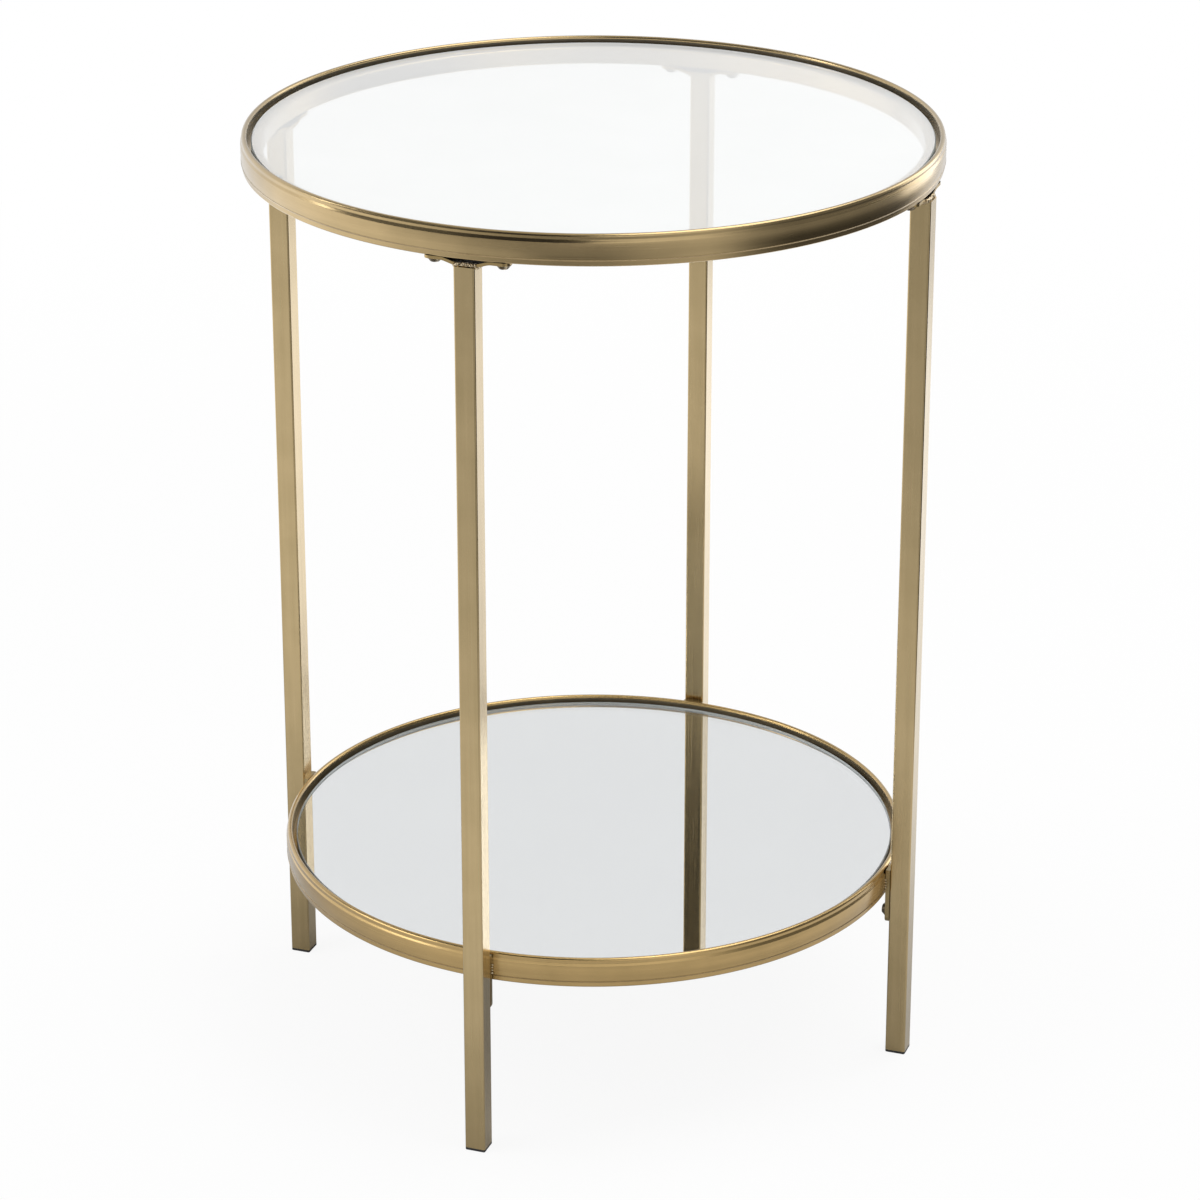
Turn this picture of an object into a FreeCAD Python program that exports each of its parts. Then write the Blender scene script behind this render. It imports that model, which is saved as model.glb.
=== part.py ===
import FreeCAD, Part
import os
import Sketcher

# Round tiered side table: a glass top and a mirrored shelf lie in two rolled rings, which four
# square legs carry. Millimetres, +Z up, origin on the floor under the middle of the table. The
# front leg stands on -Y and the right one on +X. Every piece of one leg is drawn about that leg's
# own axis, with its local -Y facing away from the table, and is then turned to its side. What
# repeats within a piece is drawn at the front leg and patterned round the table.

SIZES = {
    "table_height": (640, "floor to the top of the upper rim"),
    "top_ring_radius": (230, "outer radius of the ring round the glass top"),
    "shelf_height": (141, "floor to the top of the shelf's rim"),
    "ring_base_height": (11.7, "height of the hollow part of a ring, under its ledge"),
    "ring_width": (14, "width of the hollow part of a ring"),
    "ring_wall": (1.2, "wall of the hollow part of a ring"),
    "ring_chamfer": (0.8, "chamfer on the lower and inner edges of a ring"),
    "rim_thickness": (4.2, "thickness of the rim round a pane, band included"),
    "rim_flat": (0.6, "flat left between the roundings of the rim's top"),
    "rim_above_pane": (3.8, "how far the rim stands above a pane"),
    "band_step": (1, "how far the middle band stands out from the lips of the ring"),
    "lip_height": (3.5, "height of the lip above and below the band"),
    "pane_thickness": (4, "thickness of the glass and of the mirror"),
    "pane_gap": (2.8, "gap between a pane's edge and the rim round it"),
    "pane_chamfer": (0.6, "ground edge of a pane"),
    "pad_radius": (3, "radius of a clear pad under a pane"),
    "pad_thickness": (1, "thickness of a clear pad"),
    "leg_side": (14, "side of a leg's square tube"),
    "leg_wall": (1.2, "wall of a leg's tube"),
    "leg_rounding": (1.2, "rounding of a leg's long edges"),
    "leg_proud": (1, "how far a leg's outer face stands out from the top ring"),
    "foot_thickness": (2, "what a foot cap adds under its leg"),
    "foot_rounding": (0.7, "rounding of a foot cap's bottom edge"),
    "plug_height": (12, "how far a foot cap's plug reaches into its leg"),
    "plug_wall": (1.6, "wall of a foot cap's hollow plug"),
    "plug_clearance": (0.15, "gap between a plug and its leg, which the ribs fill"),
    "rib_height": (1.2, "height of a plug's grip rib"),
    "bracket_width": (14, "width of the strip on top of a leg"),
    "bracket_thickness": (2, "thickness of the strip on top of a leg"),
    "bracket_dish": (2.4, "how far the middle of a bracket is pressed down"),
    "bracket_bend": (10, "radius of a bracket's bends"),
    "bracket_corner": (4, "rounding of a bracket's corners in plan"),
    "bracket_weld_margin": (0.5, "edge of a leg to where its bracket bends up"),
    "bracket_screw_spacing": (45, "distance between a bracket's two screws"),
    "bracket_screw_margin": (5.5, "screw axis to the end of the bracket"),
    "bracket_seat_margin": (1.8, "edge of a screw's head to where the bracket bends down"),
    "tab_thickness": (3, "thickness of a shelf tab"),
    "tab_width": (14, "width of a shelf tab"),
    "tab_top_drop": (1.5, "top of the shelf's rim to the top of a shelf tab"),
    "tab_corner": (4.5, "rounding of a shelf tab's lower corners"),
    "tab_screw_drop": (13.5, "shelf ring's underside to the axis of a shelf screw"),
    "tab_screw_margin": (7.5, "axis of a shelf screw to the lower end of its tab"),
    "screw_radius": (2.95, "radius of an M6 thread, drawn plain"),
    "screw_clearance": (0.25, "gap between a screw and its hole in a bracket or tab"),
    "screw_tip_drop": (0.5, "how far a screw's tip stays short of its nut's end"),
    "head_radius": (5.25, "radius of a button head"),
    "head_height": (3.3, "height of a button head"),
    "head_top_radius": (3, "radius of the flat on top of a button head"),
    "head_skirt": (0.6, "upright edge at the foot of a button head"),
    "socket_width": (4, "hexagon socket of a screw, across its flats"),
    "socket_depth": (2, "depth of the hexagon socket"),
    "nut_bore_clearance": (0.05, "gap between a screw and its rivet nut's thread"),
    "nut_hole_clearance": (0.05, "gap between a rivet nut's barrel and its hole"),
    "nut_bulge": (0.5, "how far a rivet nut's crimped bulge stands out from its barrel"),
    "nut_bulge_height": (1.6, "height of the crimped bulge"),
    "nut_side_clearance": (0.4, "gap between the bulge and the walls of the ring's hollow"),
    "nut_headroom": (0.8, "gap between a rivet nut's end and the ring's ledge"),
}

# direction of each side from the table's axis (x, y), and the turn that faces local -Y that way
SIDES = {
    "front": (0, -1, 0),
    "right": (1, 0, 90),
    "back": (0, 1, 180),
    "left": (-1, 0, 270),
}
RIB_PLACES = (0.3, 0.7)  # where a plug's grip ribs start, as shares of its height

document = FreeCAD.newDocument("side_table")
parts = []


# ---- sizes, as numbers and as spreadsheet expressions ----


class Size:
    """A length together with the spreadsheet expression that gives it."""

    def __init__(self, value, text):
        self.value = value
        self.text = text

    def __add__(self, other):
        other = as_size(other)
        return Size(self.value + other.value, f"({self.text} + {other.text})")

    def __sub__(self, other):
        other = as_size(other)
        return Size(self.value - other.value, f"({self.text} - {other.text})")

    def __mul__(self, other):
        other = as_size(other)
        return Size(self.value * other.value, f"({self.text} * {other.text})")

    def __truediv__(self, other):
        other = as_size(other)
        return Size(self.value / other.value, f"({self.text} / {other.text})")

    def __neg__(self):
        return self * -1


def as_size(number):
    return number if isinstance(number, Size) else Size(float(number), f"({float(number)})")


def square_root(size):
    return Size(size.value**0.5, f"sqrt({size.text})")


def make_sheet():
    """Writes the driving dimensions and returns each as a Size, by name."""
    sheet = document.addObject("Spreadsheet::Sheet", "Sizes")
    for row, (name, (value, meaning)) in enumerate(SIZES.items(), start=1):
        sheet.set(f"A{row}", meaning)
        sheet.set(f"B{row}", str(value))
        sheet.setAlias(f"B{row}", name)
    document.recompute()
    return {name: Size(float(sheet.get(name)), f"Sizes.{name}") for name in SIZES}


sizes = make_sheet()

ledge_depth = sizes["rim_above_pane"] + sizes["pane_thickness"] + sizes["pad_thickness"]
ring_height = sizes["ring_base_height"] + ledge_depth
top_ring_bottom = sizes["table_height"] - ring_height
shelf_ring_bottom = sizes["shelf_height"] - ring_height

leg_half = sizes["leg_side"] / 2
leg_inside = sizes["leg_side"] - sizes["leg_wall"] * 2
leg_distance = sizes["top_ring_radius"] + sizes["leg_proud"] - leg_half
leg_inner_face = leg_distance - leg_half
leg_top = top_ring_bottom - sizes["bracket_dish"] - sizes["bracket_thickness"]
shelf_ring_radius = leg_inner_face - sizes["tab_thickness"]

# the ring's screws lie on the circle in the middle of its hollow
hollow_half = (sizes["ring_width"] - sizes["band_step"]) / 2 - sizes["ring_wall"]
hollow_radius = sizes["top_ring_radius"] - (sizes["ring_width"] + sizes["band_step"]) / 2
half_spacing = sizes["bracket_screw_spacing"] / 2
ring_screw_distance = square_root(hollow_radius * hollow_radius - half_spacing * half_spacing)
shelf_screw_height = shelf_ring_bottom - sizes["tab_screw_drop"]

screw_hole_radius = sizes["screw_radius"] + sizes["screw_clearance"]
nut_bulge_radius = hollow_half - sizes["nut_side_clearance"]
nut_radius = nut_bulge_radius - sizes["nut_bulge"]
nut_hole_radius = nut_radius + sizes["nut_hole_clearance"]
nut_length = sizes["ring_base_height"] - sizes["ring_wall"] - sizes["nut_headroom"]


# ---- features ----


def new_body(label):
    body = document.addObject("PartDesign::Body", label)
    body.Label = label
    parts.append(body)
    return body


def origin_feature(body, role):
    return next(item for item in body.Origin.OriginFeatures if item.Role == role)


def sketch_on(body, role, name, x=0, y=0, z=0):
    """A sketch on an origin plane of the body, shifted by x and y in it and by z off it."""
    sketch = body.newObject("Sketcher::SketchObject", f"{body.Name}_{name}")
    sketch.AttachmentSupport = [(origin_feature(body, role), "")]
    sketch.MapMode = "FlatFace"
    for axis, shift in (("x", x), ("y", y), ("z", z)):
        sketch.setExpression(f".AttachmentOffset.Base.{axis}", as_size(shift).text)
    return sketch


def pin_point(sketch, geometry, point, position):
    """Ties one point of a sketch to its x and y."""
    for kind, length in zip(("DistanceX", "DistanceY"), position):
        length = as_size(length)
        constraint = Sketcher.Constraint(kind, -1, 1, geometry, point, length.value)
        index = sketch.addConstraint(constraint)
        sketch.setExpression(f"Constraints[{index}]", length.text)


def draw_polygon(sketch, corners):
    """A closed outline of straight lines, each of its corners tied to the sizes."""
    first = sketch.GeometryCount
    count = len(corners)
    points = [FreeCAD.Vector(as_size(x).value, as_size(y).value, 0) for x, y in corners]
    for i in range(count):
        sketch.addGeometry(Part.LineSegment(points[i], points[(i + 1) % count]), False)
    for i in range(count):
        following = first + (i + 1) % count
        sketch.addConstraint(Sketcher.Constraint("Coincident", first + i, 2, following, 1))
    for i, corner in enumerate(corners):
        pin_point(sketch, first + i, 1, corner)


def draw_rectangle(sketch, x_low, x_high, y_low, y_high):
    draw_polygon(sketch, [(x_low, y_low), (x_high, y_low), (x_high, y_high), (x_low, y_high)])


def draw_square(sketch, side):
    half = side / 2
    draw_rectangle(sketch, -half, half, -half, half)


def draw_hexagon(sketch, across_flats):
    """A regular hexagon about the sketch's own origin."""
    half = across_flats / 2
    corner = across_flats / square_root(as_size(3))
    low = corner / 2
    right_side = [(half, -low), (half, low), (0, corner)]
    left_side = [(-half, low), (-half, -low), (0, -corner)]
    draw_polygon(sketch, right_side + left_side)


def draw_circle(sketch, x, y, radius):
    x, y, radius = as_size(x), as_size(y), as_size(radius)
    centre = FreeCAD.Vector(x.value, y.value, 0)
    circle = Part.Circle(centre, FreeCAD.Vector(0, 0, 1), radius.value)
    geometry = sketch.addGeometry(circle, False)
    index = sketch.addConstraint(Sketcher.Constraint("Radius", geometry, radius.value))
    sketch.setExpression(f"Constraints[{index}]", radius.text)
    pin_point(sketch, geometry, 3, (x, y))


def pad(body, sketch, length, against_normal=False):
    feature = body.newObject("PartDesign::Pad", f"{sketch.Name}_pad")
    feature.Profile = sketch
    feature.Reversed = against_normal
    feature.setExpression("Length", length.text)
    document.recompute()
    return feature


def pocket(body, sketch, depth, along_normal=False):
    """Cuts the sketch into the body, and stops the build if that takes nothing away."""
    before = body.Shape.Volume
    feature = body.newObject("PartDesign::Pocket", f"{sketch.Name}_pocket")
    feature.Profile = sketch
    feature.Reversed = along_normal
    feature.setExpression("Length", depth.text)
    document.recompute()
    if not body.Shape.Volume < before:
        raise RuntimeError(f"{feature.Name} cuts nothing from {body.Label}")
    return feature


def revolve(body, sketch, axis="V_Axis"):
    feature = body.newObject("PartDesign::Revolution", f"{sketch.Name}_turned")
    feature.Profile = sketch
    feature.ReferenceAxis = (sketch, [axis])
    feature.Angle = 360
    document.recompute()
    return feature


def dress(body, kind, base, size, picks):
    """A Fillet or Chamfer on those edges of base for which picks(edge) is true."""
    names = [f"Edge{i}" for i, edge in enumerate(base.Shape.Edges, start=1) if picks(edge)]
    if not names:
        raise RuntimeError(f"{body.Label} has no edge for its {kind}")
    feature = body.newObject(f"PartDesign::{kind}", f"{base.Name}_{kind.lower()}")
    feature.Base = (base, names)
    feature.setExpression("Radius" if kind == "Fillet" else "Size", size.text)
    document.recompute()
    return feature


def round_the_table(body, features, mirrored=False):
    """Repeats features at each leg, first mirroring them in the leg's own plane if asked."""
    pattern = body.newObject("PartDesign::MultiTransform", f"{body.Name}_pattern")
    pattern.Originals = features
    steps = []
    if mirrored:
        mirror = body.newObject("PartDesign::Mirrored", f"{body.Name}_mirror")
        mirror.MirrorPlane = (origin_feature(body, "YZ_Plane"), [""])
        steps.append(mirror)
    turns = body.newObject("PartDesign::PolarPattern", f"{body.Name}_turns")
    turns.Axis = (origin_feature(body, "Z_Axis"), [""])
    turns.Angle = 360
    turns.Occurrences = len(SIDES)
    steps.append(turns)
    pattern.Transformations = steps
    body.Tip = pattern
    document.recompute()


def stand_at_leg(body, side):
    """Moves a piece that is drawn about a leg's axis to the leg on that side."""
    x, y, turn = SIDES[side]
    body.Placement.Rotation = FreeCAD.Rotation(FreeCAD.Vector(0, 0, 1), turn)
    body.setExpression(".Placement.Base.x", (leg_distance * x).text)
    body.setExpression(".Placement.Base.y", (leg_distance * y).text)


def close_to(number, size):
    return abs(number - as_size(size).value) < 1e-4


def is_circle(edge):
    return edge.Curve.TypeId == "Part::GeomCircle"


def is_upright(edge):
    """True for a straight edge along Z."""
    box = edge.BoundBox
    return box.ZLength > 1e-3 and box.XLength < 1e-6 and box.YLength < 1e-6


def runs_front_to_back(edge):
    """True for a straight edge along Y."""
    box = edge.BoundBox
    return box.YLength > 1e-3 and box.XLength < 1e-6 and box.ZLength < 1e-6


# ---- rings and what lies in them ----


def ring_outline(radius, top):
    """Corners of a ring's section, from its inner underside round by the outside."""
    inner = radius - sizes["ring_width"]
    lip = radius - sizes["band_step"]
    rim_inside = radius - sizes["rim_thickness"]
    bottom = top - ring_height
    ledge = top - ledge_depth
    band_bottom = bottom + sizes["lip_height"] + sizes["band_step"]
    band_top = top - sizes["lip_height"] - sizes["band_step"]
    chamfer = sizes["ring_chamfer"]
    base_corners = [
        (inner, bottom + chamfer),
        (inner + chamfer, bottom),
        (lip - chamfer, bottom),
        (lip, bottom + chamfer),
    ]
    band_corners = [
        (lip, bottom + sizes["lip_height"]),
        (radius, band_bottom),
        (radius, band_top),
        (lip, top - sizes["lip_height"]),
    ]
    rim_and_ledge_corners = [
        (lip, top),
        (rim_inside, top),
        (rim_inside, ledge),
        (inner + chamfer, ledge),
        (inner, ledge - chamfer),
    ]
    return base_corners + band_corners + rim_and_ledge_corners


def make_ring(label, radius, top):
    """A stepped ring: a hollow base whose ledge carries a pane, and a round-topped rim."""
    body = new_body(label)
    section = sketch_on(body, "XZ_Plane", "section")
    draw_polygon(section, ring_outline(radius, top))
    wall = sizes["ring_wall"]
    lip = radius - sizes["band_step"]
    draw_rectangle(
        section,
        radius - sizes["ring_width"] + wall,
        lip - wall,
        top - ring_height + wall,
        top - ledge_depth - wall,
    )
    ring = revolve(body, section)
    rim_rounding = (sizes["rim_thickness"] - sizes["band_step"] - sizes["rim_flat"]) / 2
    dress(
        body,
        "Fillet",
        ring,
        rim_rounding,
        lambda edge: is_circle(edge) and close_to(edge.Curve.Center.z, top),
    )
    return body


def drill_for_nuts(body):
    """Two holes for rivet nuts in the top ring's underside at each leg."""
    holes = sketch_on(body, "XY_Plane", "nut_hole", z=top_ring_bottom)
    draw_circle(holes, half_spacing, -ring_screw_distance, nut_hole_radius)
    cut = pocket(body, holes, sizes["ring_base_height"] / 2, along_normal=True)
    round_the_table(body, [cut], mirrored=True)


def pane_radius(ring_radius):
    return ring_radius - sizes["rim_thickness"] - sizes["pane_gap"]


def make_pane(label, ring_radius, rim_top):
    """A round pane with ground edges, which lies on its pads inside the rim."""
    body = new_body(label)
    bottom = rim_top - sizes["rim_above_pane"] - sizes["pane_thickness"]
    disc = sketch_on(body, "XY_Plane", "disc", z=bottom)
    draw_circle(disc, 0, 0, pane_radius(ring_radius))
    slab = pad(body, disc, sizes["pane_thickness"])
    dress(body, "Chamfer", slab, sizes["pane_chamfer"], is_circle)


def make_pads(label, ring_radius, rim_top):
    """Clear round pads on a ring's ledge, halfway between the legs."""
    body = new_body(label)
    ledge_edge = ring_radius - sizes["ring_width"] + sizes["ring_chamfer"]
    distance = (ledge_edge + pane_radius(ring_radius)) / 2
    across = distance / square_root(as_size(2))
    spot = sketch_on(body, "XY_Plane", "spot", z=rim_top - ledge_depth)
    draw_circle(spot, across, across, sizes["pad_radius"])
    round_the_table(body, [pad(body, spot, sizes["pad_thickness"])])


# ---- legs and feet ----


def is_outer_leg_edge(edge):
    return is_upright(edge) and close_to(abs(edge.BoundBox.XMax), leg_half)


def make_leg(side):
    """A square tube with a hole for the shelf screw's rivet nut in its inner face."""
    body = new_body(f"leg_{side}")
    tube = sketch_on(body, "XY_Plane", "tube", z=sizes["foot_thickness"])
    draw_square(tube, sizes["leg_side"])
    draw_square(tube, leg_inside)
    bar = pad(body, tube, leg_top - sizes["foot_thickness"])
    dress(body, "Fillet", bar, sizes["leg_rounding"], is_outer_leg_edge)
    hole = sketch_on(body, "XZ_Plane", "nut_hole", z=-leg_half)
    draw_circle(hole, 0, shelf_screw_height, nut_hole_radius)
    pocket(body, hole, leg_half, along_normal=True)
    stand_at_leg(body, side)


def make_foot_cap(side):
    """A plastic sole with a hollow, ribbed plug that grips the inside of its leg."""
    body = new_body(f"foot_cap_{side}")
    sole = sketch_on(body, "XY_Plane", "sole")
    draw_square(sole, sizes["leg_side"])
    plate = pad(body, sole, sizes["foot_thickness"])
    rounded = dress(body, "Fillet", plate, sizes["leg_rounding"], is_outer_leg_edge)
    dress(
        body,
        "Fillet",
        rounded,
        sizes["foot_rounding"],
        lambda edge: edge.BoundBox.ZMax < 1e-6,
    )
    plug_side = leg_inside - sizes["plug_clearance"] * 2
    plug = sketch_on(body, "XY_Plane", "plug", z=sizes["foot_thickness"])
    draw_square(plug, plug_side)
    draw_square(plug, plug_side - sizes["plug_wall"] * 2)
    pad(body, plug, sizes["plug_height"])
    for place in RIB_PLACES:
        height = sizes["foot_thickness"] + sizes["plug_height"] * place
        rib = sketch_on(body, "XY_Plane", "rib", z=height)
        draw_square(rib, leg_inside)
        draw_square(rib, plug_side - sizes["plug_wall"])
        pad(body, rib, sizes["rib_height"])
    stand_at_leg(body, side)


# ---- what joins the legs to the rings ----


def bracket_outline():
    """Side view of a bracket's dished strip, its ends against the ring's underside."""
    end = half_spacing + sizes["bracket_screw_margin"]
    bend = half_spacing - sizes["head_radius"] - sizes["bracket_seat_margin"]
    middle = leg_half + sizes["bracket_weld_margin"]
    dished = top_ring_bottom - sizes["bracket_dish"]
    right_half = [(middle, dished), (bend, top_ring_bottom), (end, top_ring_bottom)]
    left_half = [(-x, z) for x, z in reversed(right_half)]
    upper = left_half + right_half
    lower = [(x, z - sizes["bracket_thickness"]) for x, z in reversed(upper)]
    return upper + lower


def make_top_bracket(side):
    """The strip welded across a leg's top, dished so that its weld stays off the ring."""
    body = new_body(f"top_bracket_{side}")
    centre_line = leg_distance - ring_screw_distance
    half_width = sizes["bracket_width"] / 2
    strip = sketch_on(body, "XZ_Plane", "strip", z=half_width - centre_line)
    draw_polygon(strip, bracket_outline())
    plate = pad(body, strip, sizes["bracket_width"], against_normal=True)
    end = half_spacing + sizes["bracket_screw_margin"]
    bent = dress(
        body,
        "Fillet",
        plate,
        sizes["bracket_bend"],
        lambda edge: runs_front_to_back(edge) and not close_to(abs(edge.BoundBox.XMax), end),
    )
    dress(
        body,
        "Fillet",
        bent,
        sizes["bracket_corner"],
        lambda edge: is_upright(edge) and close_to(abs(edge.BoundBox.XMax), end),
    )
    holes = sketch_on(body, "XY_Plane", "holes", z=top_ring_bottom)
    for x in (-half_spacing, half_spacing):
        draw_circle(holes, x, centre_line, screw_hole_radius)
    pocket(body, holes, sizes["bracket_thickness"])
    stand_at_leg(body, side)


def make_shelf_tab(side):
    """The tab welded to the shelf ring's outside and screwed to a leg's inner face."""
    body = new_body(f"shelf_tab_{side}")
    half_width = sizes["tab_width"] / 2
    bottom = shelf_screw_height - sizes["tab_screw_margin"]
    top = sizes["shelf_height"] - sizes["tab_top_drop"]
    blank = sketch_on(body, "XZ_Plane", "blank", z=-leg_half)
    draw_rectangle(blank, -half_width, half_width, bottom, top)
    draw_circle(blank, 0, shelf_screw_height, screw_hole_radius)
    plate = pad(body, blank, sizes["tab_thickness"], against_normal=True)
    dress(
        body,
        "Fillet",
        plate,
        sizes["tab_corner"],
        lambda edge: runs_front_to_back(edge) and close_to(edge.BoundBox.ZMax, bottom),
    )
    stand_at_leg(body, side)


# ---- screws and rivet nuts ----
# Their outlines are lists of (radius, depth): depth is 0 where the head bears or the nut's sheet
# begins, and grows towards the screw's tip.


def screw_outline(clamped):
    """A button-head screw that clamps this thickness and then fills its rivet nut."""
    tip = clamped + nut_length - sizes["screw_tip_drop"]
    return [
        (as_size(0), -sizes["head_height"]),
        (sizes["head_top_radius"], -sizes["head_height"]),
        (sizes["head_radius"], -sizes["head_skirt"]),
        (sizes["head_radius"], as_size(0)),
        (sizes["screw_radius"], as_size(0)),
        (sizes["screw_radius"], tip),
        (as_size(0), tip),
    ]


def nut_outline(wall):
    """A flush rivet nut in a sheet of this thickness, locked by its bulge behind it."""
    bore = sizes["screw_radius"] + sizes["nut_bore_clearance"]
    bulge_end = wall + sizes["nut_bulge_height"]
    return [
        (bore, as_size(0)),
        (nut_radius, as_size(0)),
        (nut_radius, wall),
        (nut_bulge_radius, wall),
        (nut_bulge_radius, bulge_end),
        (nut_radius, bulge_end),
        (nut_radius, nut_length),
        (bore, nut_length),
    ]


def turned_upright(body, outline, height):
    """Revolves an outline about one of the front leg's two ring screw axes, depth upwards."""
    sketch = sketch_on(
        body, "XZ_Plane", "outline", x=half_spacing, y=height, z=ring_screw_distance
    )
    draw_polygon(sketch, outline)
    return revolve(body, sketch)


def turned_outward(body, outline, distance):
    """Revolves an outline about the front leg's shelf screw axis, depth away from the table."""
    sketch = sketch_on(body, "YZ_Plane", "outline", x=-distance, y=shelf_screw_height)
    draw_polygon(sketch, [(-depth, radius) for radius, depth in outline])
    return revolve(body, sketch, axis="H_Axis")


def make_bracket_screws():
    """Two screws at each leg, up through the bracket into the top ring."""
    body = new_body("bracket_screws")
    seat = top_ring_bottom - sizes["bracket_thickness"]
    screw = turned_upright(body, screw_outline(sizes["bracket_thickness"]), seat)
    head_top = seat - sizes["head_height"]
    socket = sketch_on(
        body, "XY_Plane", "socket", x=half_spacing, y=-ring_screw_distance, z=head_top
    )
    draw_hexagon(socket, sizes["socket_width"])
    cut = pocket(body, socket, sizes["socket_depth"], along_normal=True)
    round_the_table(body, [screw, cut], mirrored=True)


def make_shelf_screws():
    """One screw at each leg, outward through the shelf tab into the leg."""
    body = new_body("shelf_screws")
    seat = leg_inner_face - sizes["tab_thickness"]
    screw = turned_outward(body, screw_outline(sizes["tab_thickness"]), seat)
    head_top = seat - sizes["head_height"]
    socket = sketch_on(body, "XZ_Plane", "socket", y=shelf_screw_height, z=head_top)
    draw_hexagon(socket, sizes["socket_width"])
    cut = pocket(body, socket, sizes["socket_depth"], along_normal=True)
    round_the_table(body, [screw, cut])


def make_ring_nuts():
    """The rivet nuts in the top ring, for the bracket screws."""
    body = new_body("ring_nuts")
    nut = turned_upright(body, nut_outline(sizes["ring_wall"]), top_ring_bottom)
    round_the_table(body, [nut], mirrored=True)


def make_leg_nuts():
    """The rivet nuts in the legs, for the shelf screws."""
    body = new_body("leg_nuts")
    nut = turned_outward(body, nut_outline(sizes["leg_wall"]), leg_inner_face)
    round_the_table(body, [nut])


# ---- the whole table ----


def make_table():
    top_radius, top = sizes["top_ring_radius"], sizes["table_height"]
    shelf_radius, shelf_top = shelf_ring_radius, sizes["shelf_height"]
    drill_for_nuts(make_ring("top_ring", top_radius, top))
    make_ring("shelf_ring", shelf_radius, shelf_top)
    make_pane("glass_top", top_radius, top)
    make_pane("mirror_shelf", shelf_radius, shelf_top)
    make_pads("glass_pads", top_radius, top)
    make_pads("mirror_pads", shelf_radius, shelf_top)
    for side in SIDES:
        make_leg(side)
        make_foot_cap(side)
        make_top_bracket(side)
        make_shelf_tab(side)
    make_bracket_screws()
    make_shelf_screws()
    make_ring_nuts()
    make_leg_nuts()


def check_document():
    """Stops the build if any object failed or any part is empty or invalid."""
    for item in document.Objects:
        if "Invalid" in item.State or "Error" in item.State:
            raise RuntimeError(f"{item.Name} failed: {item.State}")
    for body in parts:
        if body.Shape.isNull() or not body.Shape.isValid():
            raise RuntimeError(f"{body.Label} has no valid shape")


def write_parts():
    os.makedirs("parts", exist_ok=True)
    for body in parts:
        body.Shape.exportStep(f"parts/{body.Label}.step")
        box = body.Shape.BoundBox
        print(
            f"{body.Label}: {len(body.Shape.Solids)} solids, {body.Shape.Volume:.0f} mm3,"
            f" z {box.ZMin:.2f} to {box.ZMax:.2f}"
        )


make_table()
document.recompute()
check_document()
write_parts()
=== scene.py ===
import math
import random

import bpy
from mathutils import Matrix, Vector, noise


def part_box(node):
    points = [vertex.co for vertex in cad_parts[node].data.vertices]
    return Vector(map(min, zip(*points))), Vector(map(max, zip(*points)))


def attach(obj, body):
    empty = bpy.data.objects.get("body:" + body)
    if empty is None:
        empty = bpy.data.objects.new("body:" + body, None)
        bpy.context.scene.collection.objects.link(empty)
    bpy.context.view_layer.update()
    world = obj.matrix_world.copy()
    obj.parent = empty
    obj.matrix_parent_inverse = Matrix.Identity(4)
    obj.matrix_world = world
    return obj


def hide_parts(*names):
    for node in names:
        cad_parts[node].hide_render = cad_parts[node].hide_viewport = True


# Round side table with a glass top and a mirrored shelf in two antique brass rings. Metres; the
# front leg stands on -Y and the right one on +X. The rings and panes are turned afresh with fine
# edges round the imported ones, the welds are added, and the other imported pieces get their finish.

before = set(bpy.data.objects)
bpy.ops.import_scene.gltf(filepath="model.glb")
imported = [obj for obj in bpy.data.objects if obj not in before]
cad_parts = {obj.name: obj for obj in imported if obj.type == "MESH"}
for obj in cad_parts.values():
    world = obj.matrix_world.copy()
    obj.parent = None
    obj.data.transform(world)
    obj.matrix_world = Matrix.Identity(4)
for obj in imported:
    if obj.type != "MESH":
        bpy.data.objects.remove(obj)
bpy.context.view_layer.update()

MM = 0.001
SIDES = {"front": -90, "right": 0, "back": 90, "left": 180}  # degrees from +X

# the rings' section
RING_WIDTH = 14 * MM
RIM_THICKNESS = 4.2 * MM
BAND_STEP = 0.75 * MM
LIP_HEIGHT = 3.5 * MM
RIM_ROUNDING = 1.95 * MM
RIM_INNER_ROUNDING = 1.45 * MM
BAND_CROWN = 0.25 * MM  # how far the band's edges fall back from its middle
# how far down the inside of each rim is as bright as its top; below that the wall has painted shade
BRIGHT_RIM_DEPTH = {"top_ring": 1.9 * MM, "shelf_ring": 2.1 * MM}
BASE_ROUNDING = 0.9 * MM
STEP_ROUNDING = 0.6 * MM  # of the lower step
UPPER_STEP_DROP = 1.7 * MM  # the upper step is a slope, the lower one a small chamfer
UPPER_STEP_ROUNDING = 2.2 * MM
INNER_ROUNDING = 0.25 * MM
SEAM_DIRECTIONS = (-37, 142)  # degrees from +X, where the halves of a ring are welded together
SEAM_HEIGHT = 0.16 * MM
SEAM_HALF_WIDTH = 1.1 * MM
SEAM_STEPS = 5  # across half a seam's width
SEAM_LUMP_HEIGHT = 1.5 * MM
SEAM_LUMPS_PER_RADIAN = 300
CLOSEST_STEP = 0.1 * MM  # round the ring
RING_STEPS = 360
ARC_STEPS = 6
CROWN_STEPS = 8

# the panes
PANE_CHAMFER = 0.6 * MM
PANE_ROUNDING = 0.12 * MM
AXIS_ROUNDING = 0.01 * MM
BACKING_THICKNESS = 0.2 * MM

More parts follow.
